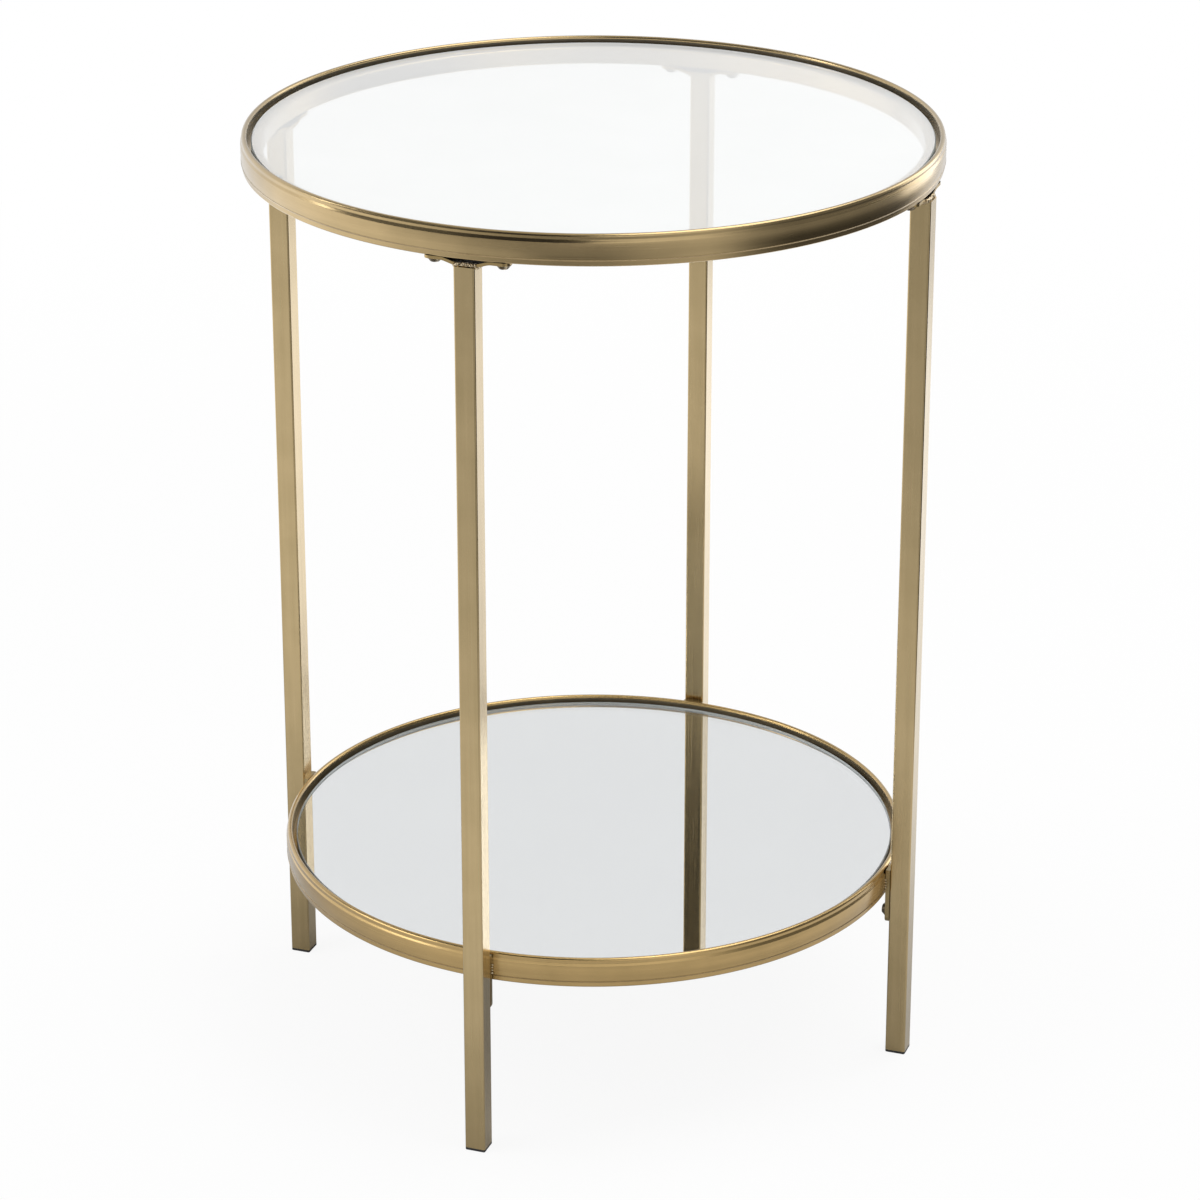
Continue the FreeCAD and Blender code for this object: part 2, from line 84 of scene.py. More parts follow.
# the welds
WELD_RADIUS = 1.4 * MM
WELD_PITCH = 3.1 * MM
WELD_STEP = 0.45 * MM
WELD_POINTS_AROUND = 10
WELD_RIPPLE = 0.14  # of its radius
WELD_LUMPS = 0.5  # of its radius
WELD_LUMPS_PER_METRE = 700
WELD_END = 0.02  # the square of an open bead's thickness at its ends
WELD_RISE = 2.5 * MM  # over which the bead climbs onto the leg's top
WELD_CORNER = 1 * MM
TAB_WELD_RADIUS = 0.9 * MM
TAB_WELD_INSET = 0.2 * MM
TAB_WELD_FROM_BOTTOM = 1.5 * MM
TAB_WELD_FROM_TOP = 3 * MM


# ---- meshes ----


def rounded_outline(corners):
    """Points (x, z, normal x, normal z) of a closed outline whose corners are (x, z, radius).

    It runs anticlockwise, seen with x to the right and z up, so that its normals point outwards.
    """
    points = []
    count = len(corners)
    for i, (x, z, radius) in enumerate(corners):
        here = Vector((x, z))
        before = (Vector(corners[i - 1][:2]) - here).normalized()
        after = (Vector(corners[(i + 1) % count][:2]) - here).normalized()
        turn = math.pi - before.angle(after)
        outwards = before.cross(-after) > 0
        reach = radius * math.tan(turn / 2)
        start = here + before * reach
        middle = here + (before + after).normalized() * radius / math.cos(turn / 2)
        for step in range(ARC_STEPS + 1):
            angle = turn * step / ARC_STEPS * (1 if outwards else -1)
            arm = start - middle
            c, s = math.cos(angle), math.sin(angle)
            arm = Vector((arm.x * c - arm.y * s, arm.x * s + arm.y * c))
            normal = arm.normalized() if outwards else -arm.normalized()
            point = middle + arm
            points.append((point.x, point.y, normal.x, normal.y))
    return points


def lathe(name, outline, angles, closed=True, swell=None):
    """Turns an outline of (radius, z, normal r, normal z) about Z, one step at each angle.

    swell(angle, z) gives how far a point on an upright face moves along its normal.
    """
    verts, normals, rows = [], [], []
    for r, z, nr, nz in outline:
        on_axis = r < 1e-9
        first = len(verts)
        for angle in angles[:1] if on_axis else angles:
            out = swell(angle, z) * (1 - abs(nz)) if swell else 0
            c, s = math.cos(angle), math.sin(angle)
            verts.append(((r + nr * out) * c, (r + nr * out) * s, z + nz * out))
            normals.append((nr * c, nr * s, nz))
        rows.append([first] * len(angles) if on_axis else range(first, len(verts)))
    faces = []
    pairs = zip(rows, rows[1:] + rows[:1]) if closed else zip(rows, rows[1:])
    for lower, upper in pairs:
        for i in range(len(angles)):
            j = (i + 1) % len(angles)
            corners = [lower[i], lower[j], upper[j], upper[i]]
            faces.append(list(dict.fromkeys(corners)))
    mesh = bpy.data.meshes.new(name)
    mesh.from_pydata(verts, [], faces)
    mesh.shade_smooth()
    mesh.normals_split_custom_set_from_vertices(normals)
    mesh.validate()
    return add_object(name, mesh)


def add_object(name, data):
    item = bpy.data.objects.new(name, data)
    bpy.context.scene.collection.objects.link(item)
    return item


def even_angles(count):
    return [2 * math.pi * i / count for i in range(count)]


def seam_angles(radius):
    """Even steps round the ring, with close ones over its two seams."""
    angles = set(even_angles(RING_STEPS))
    for direction in SEAM_DIRECTIONS:
        for step in range(-2 * SEAM_STEPS, 2 * SEAM_STEPS + 1):
            offset = step / SEAM_STEPS * SEAM_HALF_WIDTH / radius
            angles.add(math.radians(direction) % (2 * math.pi) + offset)
    ordered = sorted(angles)
    kept = ordered[:1]
    for angle in ordered[1:]:
        if angle - kept[-1] > CLOSEST_STEP / radius:
            kept.append(angle)
    return kept


# ---- rings and panes ----


def ring_corners(radius, top, bottom, ledge):
    """Corners of a ring's section, from its inner underside round by the outside."""
    inner = radius - RING_WIDTH
    lip = radius - BAND_STEP
    rim_inside = radius - RIM_THICKNESS
    return [
        (inner, bottom, BASE_ROUNDING),
        (lip, bottom, BASE_ROUNDING),
        (lip, bottom + LIP_HEIGHT, STEP_ROUNDING),
        (radius, bottom + LIP_HEIGHT + BAND_STEP, STEP_ROUNDING),
        (radius, top - LIP_HEIGHT - UPPER_STEP_DROP, UPPER_STEP_ROUNDING),
        (lip, top - LIP_HEIGHT, UPPER_STEP_ROUNDING),
        (lip, top, RIM_ROUNDING),
        (rim_inside, top, RIM_INNER_ROUNDING),
        (rim_inside, ledge, INNER_ROUNDING),
        (inner, ledge, BASE_ROUNDING),
    ]


def crowned(outline, radius):
    """The outline with its outermost upright run, the band's face, slightly domed."""
    first = next(i for i, point in enumerate(outline) if abs(point[0] - radius) < 1e-6)
    low, high = (point[1] for point in outline[first : first + 2])
    middle, half = (low + high) / 2, (high - low) / 2
    dome = []
    for step in range(CROWN_STEPS + 1):
        up = 2 * step / CROWN_STEPS - 1
        normal = Vector((1, 2 * BAND_CROWN * up / half)).normalized()
        dome.append((radius - BAND_CROWN * up * up, middle + half * up, normal.x, normal.y))
    return outline[:first] + dome + outline[first + 2 :]


def make_ring(node, pads_node, material, recess_shade):
    """The ring in its finish, with painted shade: a dark brass on the wall inside its rim."""
    low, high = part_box(node)
    radius = high.x
    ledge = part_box(pads_node)[0].z
    outline = rounded_outline(ring_corners(radius, high.z, low.z, ledge))
    painted_shade_top = high.z - BRIGHT_RIM_DEPTH[node]
    inner_wall = next(
        i for i, point in enumerate(outline) if point[2] < -0.999 and point[1] > ledge
    )
    outline.insert(inner_wall + 1, (outline[inner_wall][0], painted_shade_top, -1, 0))
    outline = crowned(outline, radius)

    def seam_swell(angle, z):
        """A dressed weld across the ring stands slightly proud and uneven."""
        out = 0
        for direction in SEAM_DIRECTIONS:
            away = angle - math.radians(direction)
            away = abs(math.remainder(away, 2 * math.pi)) * radius
            spot = Vector((direction, z / SEAM_LUMP_HEIGHT, angle * SEAM_LUMPS_PER_RADIAN))
            lumps = 0.7 + 0.6 * noise.noise(spot)
            out += SEAM_HEIGHT * lumps * math.exp(-((away / SEAM_HALF_WIDTH) ** 2) * 2)
        return out

    piece = lathe(node + "_turned", outline, seam_angles(radius), swell=seam_swell)
    piece.data.materials.append(material)
    piece.data.materials.append(recess_shade)
    # the wall inside the rim, from the ledge up to below the bright rim top, gets the dark brass:
    # painted shade
    for face in piece.data.polygons:
        towards_axis = face.normal.dot(Vector((*face.center.xy, 0)).normalized()) < -0.8
        face.material_index = int(towards_axis and ledge < face.center.z < painted_shade_top)
    finish_piece(piece, "antique_brass", node)


def pane_outline(radius, top, bottom):
    """Half of a pane's section, from the axis below round its ground edge to the axis above."""
    corners = [
        (radius - PANE_CHAMFER, bottom, PANE_ROUNDING),
        (radius, bottom + PANE_CHAMFER, PANE_ROUNDING),
        (radius, top - PANE_CHAMFER, PANE_ROUNDING),
        (radius - PANE_CHAMFER, top, PANE_ROUNDING),
    ]
    on_axis = [(0, top, AXIS_ROUNDING), (0, bottom, AXIS_ROUNDING)]
    edge = rounded_outline(corners + on_axis)[: len(corners) * (ARC_STEPS + 1)]
    return [(0, bottom, 0, -1)] + edge + [(0, top, 0, 1)]


def make_glass_top(material, ground):
    """The clear pane, with a matt ground edge."""
    low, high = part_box("glass_top")
    outline = pane_outline(high.x, high.z, low.z)
    pane = lathe("glass_pane", outline, even_angles(RING_STEPS), closed=False)
    pane.data.materials.append(material)
    pane.data.materials.append(ground)
    for face in pane.data.polygons:
        face.material_index = int(abs(face.normal.z) < 0.99)
    finish_piece(pane, "clear_glass", "glass_top")


def make_mirror(glass, ground, silver, paint):
    """A pane silvered underneath, with a painted backing under the silver."""
    low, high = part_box("mirror_shelf")
    glass_bottom = low.z + BACKING_THICKNESS
    outline = pane_outline(high.x, high.z, glass_bottom)
    pane = lathe("mirror_pane", outline, even_angles(RING_STEPS), closed=False)
    for material in (glass, ground, silver):
        pane.data.materials.append(material)
    for face in pane.data.polygons:
        if face.normal.z < 0.99:
            face.material_index = 2 if face.normal.z < -0.99 else 1
    finish_piece(pane, "mirror", "mirror_shelf")
    edge = high.x - PANE_CHAMFER
    flat = [(0, low.z, 0, -1), (edge, low.z, 0, -1)]
    side = [(edge, low.z, 1, 0), (edge, glass_bottom, 1, 0)]
    backing = lathe("mirror_backing", flat + side, even_angles(RING_STEPS), closed=False)
    backing.data.materials.append(paint)
    finish_piece(backing, "mirror")


def finish_piece(piece, slot, *nodes):
    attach(piece, "root")
    if nodes:
        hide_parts(*nodes)


# ---- welds ----


def weld_bead(path, radius, seed, closed):
    """Points and faces of a lumpy bead of this radius along a path of points."""
    dice = random.Random(seed)
    around = WELD_POINTS_AROUND
    verts, faces = [], []
    lengths = [0]
    for start, end in zip(path, path[1:]):
        lengths.append(lengths[-1] + (end - start).length)
    phase = dice.uniform(0, math.tau)
    count = len(path)
    for i, point in enumerate(path):
        ahead = path[(i + 1) % count] if closed or i + 1 < count else point
        behind = path[i - 1] if closed or i > 0 else point
        along = (ahead - behind).normalized()
        side = along.cross(Vector((0, 0, 1))).normalized()
        up = side.cross(along)
        ripple = 1 + WELD_RIPPLE * math.sin(math.tau * lengths[i] / WELD_PITCH + phase)
        taper = 1
        if not closed:
            taper = math.sqrt(max(WELD_END, 1 - (2 * i / (count - 1) - 1) ** 6))
        for k in range(around):
            angle = math.tau * k / around
            c, s = math.cos(angle), math.sin(angle)
            spot = point * WELD_LUMPS_PER_METRE + Vector((seed, c, s))
            size = radius * taper * ripple * (1 + WELD_LUMPS * noise.noise(spot))
            verts.append(point + (side * c + up * s) * size)
    rounds = count if closed else count - 1
    for i in range(rounds):
        for k in range(around):
            a, b = i * around + k, i * around + (k + 1) % around
            c, d = (b + around) % len(verts), (a + around) % len(verts)
            faces.append((a, b, c, d))
    if not closed:
        faces.append(tuple(range(around))[::-1])
        faces.append(tuple(len(verts) - around + k for k in range(around)))
    return verts, faces


def resample(corners, step, closed):
    """Points about one step apart along straight runs between the corners."""
    points = []
    runs = list(zip(corners, corners[1:] + corners[:1] if closed else corners[1:]))
    for start, end in runs:
        parts = max(1, round((end - start).length / step))
        points += [start.lerp(end, i / parts) for i in range(parts)]
    return points if closed else points + [corners[-1]]


def at_side(side, along, out, z):
    """A point of the leg on that side: along its face to the right, out from the axis, up."""
    angle = math.radians(SIDES[side])
    c, s = math.cos(angle), math.sin(angle)
    return Vector((out * c - along * s, out * s + along * c, z))


def make_welds(material):
    """Beads round each leg's top under its bracket, and down both edges of each shelf tab."""
    leg_low, leg_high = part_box("leg_right")
    bracket_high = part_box("top_bracket_right")[1]
    tab_low, tab_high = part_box("shelf_tab_right")
    ring_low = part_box("shelf_ring")[0]
    half = leg_high.y
    # the leg's bead runs under the bracket round three faces of the leg, and on the leg's top
    # along the bracket's outer edge
    outer = bracket_high.x + WELD_RADIUS * 0.4
    inner = leg_low.x - WELD_RADIUS * 0.3
    edge = half + WELD_RADIUS * 0.2
    high = leg_high.z + WELD_RADIUS * 0.7
    low = leg_high.z - WELD_RADIUS * 0.35
    tab_out = tab_low.x + TAB_WELD_INSET
    tab_heights = (ring_low.z + TAB_WELD_FROM_BOTTOM, tab_high.z - TAB_WELD_FROM_TOP)
    for seed, side in enumerate(SIDES):
        loop = [
            at_side(side, -edge, inner, low),
            at_side(side, edge, inner, low),
            at_side(side, edge, outer - WELD_RISE, low),
            at_side(side, edge - WELD_CORNER, outer, high),
            at_side(side, WELD_CORNER - edge, outer, high),
            at_side(side, -edge, outer - WELD_RISE, low),
        ]
        beads = [(resample(loop, WELD_STEP, True), WELD_RADIUS, True)]
        add_weld(f"leg_weld_{side}", beads, material, seed)
        beads = []
        for along in (-half, half):
            ends = [at_side(side, along, tab_out, z) for z in tab_heights]
            beads.append((resample(ends, WELD_STEP, False), TAB_WELD_RADIUS, False))
        add_weld(f"tab_weld_{side}", beads, material, seed + 10)


def add_weld(name, beads, material, seed):
    """One piece of all the beads, each given as (path, radius, closed)."""
    verts, faces = [], []
    for offset, (path, radius, closed) in enumerate(beads):
        first = len(verts)
        new_verts, new_faces = weld_bead(path, radius, seed + offset * 5, closed)
        verts += new_verts
        faces += [tuple(first + v for v in face) for face in new_faces]
    mesh = bpy.data.meshes.new(name)
    mesh.from_pydata(verts, [], faces)
    mesh.shade_smooth()
    mesh.validate()
    piece = add_object(name, mesh)
    piece.data.materials.append(material)
    finish_piece(piece, "antique_brass")


# ---- materials ----

# where most of a noise's values lie, and a little further out
NOISE_MIDDLE = (0.35, 0.65)
NOISE_REACH = (0.3, 0.7)
GRAIN_RADIUS = 0.22  # of the circle along which the grain round the table is measured
REFLECTION_FILM_GLOSS = 0.12  # how much of the glass's painted reflection film is real shine
REFLECTION_FILM_FACING = (0.38, 0.74)  # Layer Weight's Facing where the painted reflection film starts and where it is whole


class Shader:
    """A material's node tree, with short calls that add nodes and join them."""

    def __init__(self, name, tree=None):
        if tree is None:
            self.material = bpy.data.materials.new(name)
            self.material.use_nodes = True
            tree = self.material.node_tree
        self.tree = tree
        self.tree.nodes.clear()

    def put(self, socket, value):
        if isinstance(value, bpy.types.NodeSocket):
            self.tree.links.new(value, socket)
        else:
            socket.default_value = value

    def node(self, kind, inputs=None, **settings):
        node = self.tree.nodes.new("ShaderNode" + kind)
        for key, value in settings.items():
            setattr(node, key, value)
        for key, value in (inputs or {}).items():
            self.put(node.inputs[key], value)
        return node

    def math(self, operation, *values):
        node = self.node("Math", operation=operation)
        for socket, value in zip(node.inputs, values):
            self.put(socket, value)
        return node.outputs[0]

    def noise(self, vector, scale, detail=2.0, roughness=0.5):
        inputs = {"Vector": vector, "Scale": scale, "Detail": detail, "Roughness": roughness}
        return self.node("TexNoise", inputs).outputs["Fac"]

    def stretched(self, vector, scales):
        inputs = {0: vector, 1: scales}
        return self.node("VectorMath", inputs, operation="MULTIPLY").outputs[0]

    def spread(self, value, low, high, new_low=0.0, new_high=1.0, **settings):
        """Maps low..high to new_low..new_high, clamped."""
        inputs = {
            "Value": value,
            "From Min": low,
            "From Max": high,
            "To Min": new_low,
            "To Max": new_high,
        }
        return self.node("MapRange", inputs, **settings).outputs["Result"]

    def blend(self, factor, first, second):
        node = self.node("Mix", data_type="RGBA")
        self.put(node.inputs["Factor"], factor)
        self.put(node.inputs["A"], first)
        self.put(node.inputs["B"], second)
        return node.outputs["Result"]

    def bump(self, height, strength, distance):
        inputs = {"Strength": strength, "Distance": distance, "Height": height}
        return self.node("Bump", inputs).outputs["Normal"]

    def place(self):
        return self.node("TexCoord").outputs["Object"]

    def round_the_axis(self):
        """Coordinates (way round the table, distance from its axis, height), in metres."""
        parts = self.node("SeparateXYZ", {0: self.place()}).outputs
        turn = self.math("ARCTAN2", parts["Y"], parts["X"])
        squares = self.math("MULTIPLY", parts["X"], parts["X"])
        squares = self.math("MULTIPLY_ADD", parts["Y"], parts["Y"], squares)
        distance = self.math("SQRT", squares)
        round_way = self.math("MULTIPLY", turn, GRAIN_RADIUS)
        inputs = {"X": round_way, "Y": distance, "Z": parts["Z"]}
        return self.node("CombineXYZ", inputs).outputs[0]

    def finish(self, surface):
        output = self.node("OutputMaterial")
        self.put(output.inputs["Surface"], surface)
        return self.material


def rgb(red, green, blue):
    return (red, green, blue, 1.0)


def grey(level):
    return rgb(level, level, level)


def brass(name, along, light, dark, coat=1.0, metallic=1.0, painted_shade_upward=False):
    """Satin antique brass, brushed along the rings ("round") or along the legs ("up").

    The last flag paints faces that look up nearly black and rougher: painted shade.
    """
    shader = Shader(name)
    if along == "round":
        place = shader.round_the_axis()
        grain_scales, band_scales = (9, 1400, 1400), (7, 260, 260)
    else:
        place = shader.place()
        grain_scales, band_scales = (1400, 1400, 9), (260, 260, 7)
    grain = shader.noise(shader.stretched(place, grain_scales), 1.0, 3.0, 0.6)
    bands = shader.noise(shader.stretched(place, band_scales), 1.0, 2.0)
    clouds = shader.noise(shader.place(), 38.0, 3.0)
    shade = shader.math("MULTIPLY_ADD", bands, 0.5, shader.math("MULTIPLY", clouds, 0.5))
    colour = shader.blend(shader.spread(shade, *NOISE_MIDDLE), dark, light)
    rough = shader.spread(grain, *NOISE_REACH, 0.18, 0.28)
    # painted shade: faces that look up go nearly black and rougher
    if painted_shade_upward:
        normal = shader.node("SeparateXYZ", {0: shader.node("TexCoord").outputs["Normal"]})
        top = shader.spread(normal.outputs["Z"], 0.5, 0.9)
        colour = shader.blend(top, colour, rgb(0.02, 0.015, 0.01))
        rough = shader.math("MULTIPLY_ADD", top, 0.45, rough)
    surface = shader.node(
        "BsdfPrincipled",
        {
            "Base Color": colour,
            "Metallic": metallic,
            "Roughness": rough,
            "Coat Weight": coat,
            "Coat Roughness": 0.22,
            "Normal": shader.bump(grain, 0.12, 0.04 * MM),
        },
    )
    return shader.finish(surface.outputs[0])


def weld_metal():
    """Lumpy brass, dark in places from the heat."""
    shader = Shader("weld_bead")
    place = shader.place()
    lumps = shader.noise(place, 900.0, 3.0)
    dark, light = rgb(0.30, 0.22, 0.12), rgb(0.74, 0.62, 0.42)
    colour = shader.blend(shader.spread(lumps, *NOISE_MIDDLE), dark, light)
    surface = shader.node(
        "BsdfPrincipled",
        {
            "Base Color": colour,
            "Metallic": 1.0,
            "Roughness": shader.spread(lumps, *NOISE_REACH, 0.18, 0.42),
            "Coat Weight": 0.4,
            "Coat Roughness": 0.1,
            "Normal": shader.bump(lumps, 0.5, 0.25 * MM),
        },
    )
    return shader.finish(surface.outputs[0])


def clear_glass(name, tint, veil):
    """Clear glass that lets lamps through to what lies under it.

    veil is how much of what lies under it a matt white film on its face hides at a low angle: a
    painted reflection.
    """
    shader = Shader(name)
    smears = shader.noise(shader.place(), 14.0, 3.0)
    body = shader.node(
        "BsdfPrincipled",
        {
            "Base Color": shader.blend(smears, tint, rgb(0.99, 1.0, 0.995)),
            "Roughness": 0.0,
            "IOR": 1.5,
            "Transmission Weight": 1.0,
        },
    )
    # painted reflection: a matt white film, with a little real shine, shown at low angles on the
    # front face
    matt_reflection_colour = shader.blend(smears, rgb(0.81, 0.815, 0.815), rgb(0.85, 0.855, 0.855))
    matt_reflection = shader.node("BsdfDiffuse", {"Color": matt_reflection_colour})
    rough = shader.spread(smears, *NOISE_REACH, 0.05, 0.11)
    gloss = shader.node("BsdfGlossy", {"Color": rgb(0.97, 0.98, 0.985), "Roughness": rough})
    film = shader.node("MixShader", {0: REFLECTION_FILM_GLOSS, 1: matt_reflection.outputs[0], 2: gloss.outputs[0]})
    facing = shader.node("LayerWeight", {"Blend": 0.5}).outputs["Facing"]
    amount = shader.spread(facing, *REFLECTION_FILM_FACING, 0.0, veil)
    front = shader.math("SUBTRACT", 1.0, shader.node("NewGeometry").outputs["Backfacing"])
    amount = shader.math("MULTIPLY", amount, front)
    mixed = shader.node("MixShader", {0: amount, 1: body.outputs[0], 2: film.outputs[0]})
    path = shader.node("LightPath").outputs
    passing = shader.math("MAXIMUM", path["Is Shadow Ray"], path["Is Diffuse Ray"])
    clear = shader.node("BsdfTransparent", {"Color": rgb(0.93, 0.95, 0.945)})
    both = shader.node("MixShader", {0: passing, 1: mixed.outputs[0], 2: clear.outputs[0]})
    return shader.finish(both.outputs[0])


def ground_edge(name, light, dark, clear):
    """The matt edge of a pane, with the fine lines of the grinding wheel round it."""
    shader = Shader(name)
    lines = shader.noise(shader.stretched(shader.round_the_axis(), (60, 2500, 2500)), 1.0, 3.0)
    surface = shader.node(
        "BsdfPrincipled",
        {
            "Base Color": shader.blend(shader.spread(lines, *NOISE_MIDDLE), dark, light),
            "Roughness": shader.spread(lines, *NOISE_REACH, 0.5, 0.7),
            "Transmission Weight": clear,
            "Normal": shader.bump(lines, 0.3, 0.03 * MM),
        },
    )
    return shader.finish(surface.outputs[0])


def silvering():
    """The mirror's silver, very slightly clouded."""
    shader = Shader("silvering")
    clouds = shader.noise(shader.place(), 9.0, 2.0)
    colour = shader.blend(clouds, rgb(0.758, 0.768, 0.778), rgb(0.778, 0.787, 0.796))
    surface = shader.node(
        "BsdfPrincipled", {"Base Color": colour, "Metallic": 1.0, "Roughness": 0.0}
    )
    return shader.finish(surface.outputs[0])


def speckled(name, light, dark, scale, roughness, bump_height, metallic=0.0, clear=0.0):
    """A plain moulded or plated surface with fine grain and slight clouds."""
    shader = Shader(name)
    place = shader.place()
    grain = shader.noise(place, scale, 3.0)
    clouds = shader.noise(place, scale / 14, 2.0)
    shade = shader.math("MULTIPLY_ADD", grain, 0.5, shader.math("MULTIPLY", clouds, 0.5))
    surface = shader.node(
        "BsdfPrincipled",
        {
            "Base Color": shader.blend(shader.spread(shade, *NOISE_MIDDLE), dark, light),
            "Metallic": metallic,
            "Roughness": shader.spread(grain, *NOISE_REACH, *roughness),
            "Transmission Weight": clear,
            "Normal": shader.bump(grain, 0.3, bump_height),
        },
    )
    return shader.finish(surface.outputs[0])


# ---- the studio ----

CAMERA_AZIMUTH = math.radians(19.9)
CAMERA_DISTANCE = 2.673
CAMERA_SIDESTEP = 0.0043
CAMERA_HEIGHT = 1.4226
CAMERA_PITCH = math.radians(22.68)
CAMERA_SENSOR = 36  # mm
CAMERA_LENS = 127.3  # mm
LAMP_AIM = Vector((0, 0, 0.35))
FLOOR_HALF = 6
FLOOR_COLOUR = grey(0.85)
FLOOR_IN_GLOSS = grey(0.5)
STUDIO_LEVEL = 0.55  # of the world's light on all but gloss
UNLIT_DEPTH = 0.8  # how far the unlit side is dimmed in the metal
SHADE_DEPTH = 0.92  # and the shade overhead
CARD_AZIMUTH = -45
CARD_RUN_AZIMUTH = 50  # towards which its width runs
CARD_DISTANCE = 0.84
CARD_HEIGHT = 1.13
CARD_HALF_WIDTH = 0.75
CARD_HALF_HEIGHT = 0.55
CARD_FADE = (0.54, 0.60)  # the heights between which its lower edge fades in
CARD_LEVEL = 0.03


def make_camera():
    data = bpy.data.cameras.new("camera")
    data.lens = CAMERA_LENS
    data.sensor_width = CAMERA_SENSOR
    data.clip_start = 0.1
    data.clip_end = 50
    camera = add_object("camera", data)
    c, s = math.cos(CAMERA_AZIMUTH), math.sin(CAMERA_AZIMUTH)
    camera.location = (
        CAMERA_SIDESTEP * c + CAMERA_DISTANCE * s,
        CAMERA_SIDESTEP * s - CAMERA_DISTANCE * c,
        CAMERA_HEIGHT,
    )
    camera.rotation_euler = (math.pi / 2 - CAMERA_PITCH, 0, CAMERA_AZIMUTH)
    bpy.context.scene.camera = camera


def direction(azimuth, elevation=0):
    """A level or raised direction from the table; azimuth 0 is the camera's, 90 to its right."""
    angle = CAMERA_AZIMUTH + math.radians(azimuth)
    rise = math.radians(elevation)
    level = Vector((math.sin(angle), -math.cos(angle), 0)) * math.cos(rise)
    return level + Vector((0, 0, math.sin(rise)))


def soft_lamp(name, azimuth, distance, height, size, power):
    """A rectangular softbox that faces the table; its azimuth is counted as direction() does."""
    data = bpy.data.lights.new(name, "AREA")
    data.shape = "RECTANGLE"
    data.size, data.size_y = size
    data.energy = power
    lamp = add_object(name, data)
    lamp.location = direction(azimuth) * distance + Vector((0, 0, height))
    lamp.rotation_euler = (LAMP_AIM - lamp.location).to_track_quat("-Z", "Y").to_euler()


class StudioShader(Shader):
    """The shader of something round the table, which looks different to each kind of ray."""

    def seen_white(self):
        """1 for what the camera sees itself, through or in glass, or in the mirror."""
        path = self.node("LightPath").outputs
        few_bounces = self.math("LESS_THAN", path["Glossy Depth"], 1.5)
        sharp = self.math("MAXIMUM", path["Is Transmission Ray"], path["Is Singular Ray"])
        through = self.math("MULTIPLY", sharp, few_bounces)
        return self.math("MAXIMUM", path["Is Camera Ray"], through)

    def seen_in_gloss(self):
        """1 for what shows in gloss or through glass."""
        path = self.node("LightPath").outputs
        return self.math("MAXIMUM", path["Is Glossy Ray"], path["Is Transmission Ray"])

    def along(self, vector, axis):
        node = self.node("VectorMath", {0: vector, 1: axis}, operation="DOT_PRODUCT")
        return node.outputs["Value"]

    def smooth(self, value, low, high, new_low=0.0, new_high=1.0):
        """Maps low..high to new_low..new_high, clamped, with soft ends."""
        return self.spread(value, low, high, new_low, new_high, interpolation_type="SMOOTHSTEP")

    def by_azimuth(self, place, stops):
        """A level that follows (azimuth, level) stops, azimuths as direction() counts them."""
        right = self.along(place, direction(90))
        turn = self.math("ARCTAN2", right, self.along(place, direction(0)))
        turn = self.spread(turn, -math.pi, math.pi)
        node = self.node("ValToRGB", {"Fac": turn})
        ramp = node.color_ramp
        while len(ramp.elements) < len(stops):
            ramp.elements.new(1.0)
        for element, (azimuth, level) in zip(ramp.elements, stops):
            element.position = (azimuth + 180) / 360
            level /= BRIGHTEST
            element.color = (level, level, level, 1)
        return self.math("MULTIPLY", node.outputs["Color"], BRIGHTEST)


# how the metal sees the studio, as (azimuth, level) stops round the table: the floor's light near
# the table, further out and far off, how much each direction belongs to the unlit side, which is
# to the right, and the backdrop's light; no level is above BRIGHTEST
BRIGHTEST = 1.6
NEAR_FLOOR = [
    (-180, 1.20), (-150, 0.90), (-105, 0.55), (-70, 0.85), (-40, 0.92), (-10, 0.80),
    (60, 0.85), (115, 1.05), (135, 1.10), (152, 1.40), (180, 1.20),
]
MIDDLE_FLOOR = [
    (-180, 1.20), (-105, 1.35), (-70, 1.00), (-50, 0.92), (-36, 0.66), (-26, 0.66), (-14, 0.22),
    (2, 0.22), (20, 0.50), (38, 0.75), (60, 0.70), (115, 0.70), (129, 1.25), (150, 1.55),
    (180, 1.20),
]
FAR_FLOOR = [
    (-180, 0.80), (-141, 0.90), (-105, 1.30), (-70, 1.00), (-50, 0.72), (-36, 0.52), (-18, 0.34),
    (2, 0.34), (20, 0.56), (38, 0.72), (60, 0.60), (115, 0.60), (129, 0.75), (150, 0.80),
    (180, 0.80),
]
UNLIT = [(-180, 0), (36, 0), (48, 0.7), (60, 1), (116, 1), (132, 0), (180, 0)]
BACKDROP = [(-180, 0.65), (-140, 1.0), (120, 1.0), (180, 0.65)]


def make_world():
    """A white studio, whose dark parts, to the right and overhead, show in the metal only."""
    world = bpy.data.worlds.new("studio")
    bpy.context.scene.world = world
    world.use_nodes = True
    shader = StudioShader("studio", world.node_tree)
    way = shader.node("TexCoord").outputs["Generated"]
    # the shade hangs high on the camera's left, at half its depth straight overhead
    overhead = shader.smooth(shader.along(way, direction(-60, 50)), 0.5, 0.8)
    rise = shader.along(way, (0, 0, 1))
    raised = shader.smooth(rise, 0.34, 0.45)
    steep = shader.smooth(rise, 0.8, 0.95, 1.0, 0.5)
    shade = shader.math("MULTIPLY", shader.math("MULTIPLY", overhead, raised), steep)
    gloss_level = shader.by_azimuth(way, BACKDROP)
    for dark, depth in ((shader.by_azimuth(way, UNLIT), UNLIT_DEPTH), (shade, SHADE_DEPTH)):
        gloss_level = shader.math("MULTIPLY", gloss_level, shader.spread(dark, 0, 1, 1, 1 - depth))
    level = shader.spread(shader.seen_in_gloss(), 0.0, 1.0, STUDIO_LEVEL, gloss_level)
    strength = shader.spread(shader.seen_white(), 0.0, 1.0, level, 1.0)
    background = shader.node("Background", {"Color": grey(1), "Strength": strength})
    output = shader.node("OutputWorld")
    shader.put(output.inputs["Surface"], background.outputs[0])


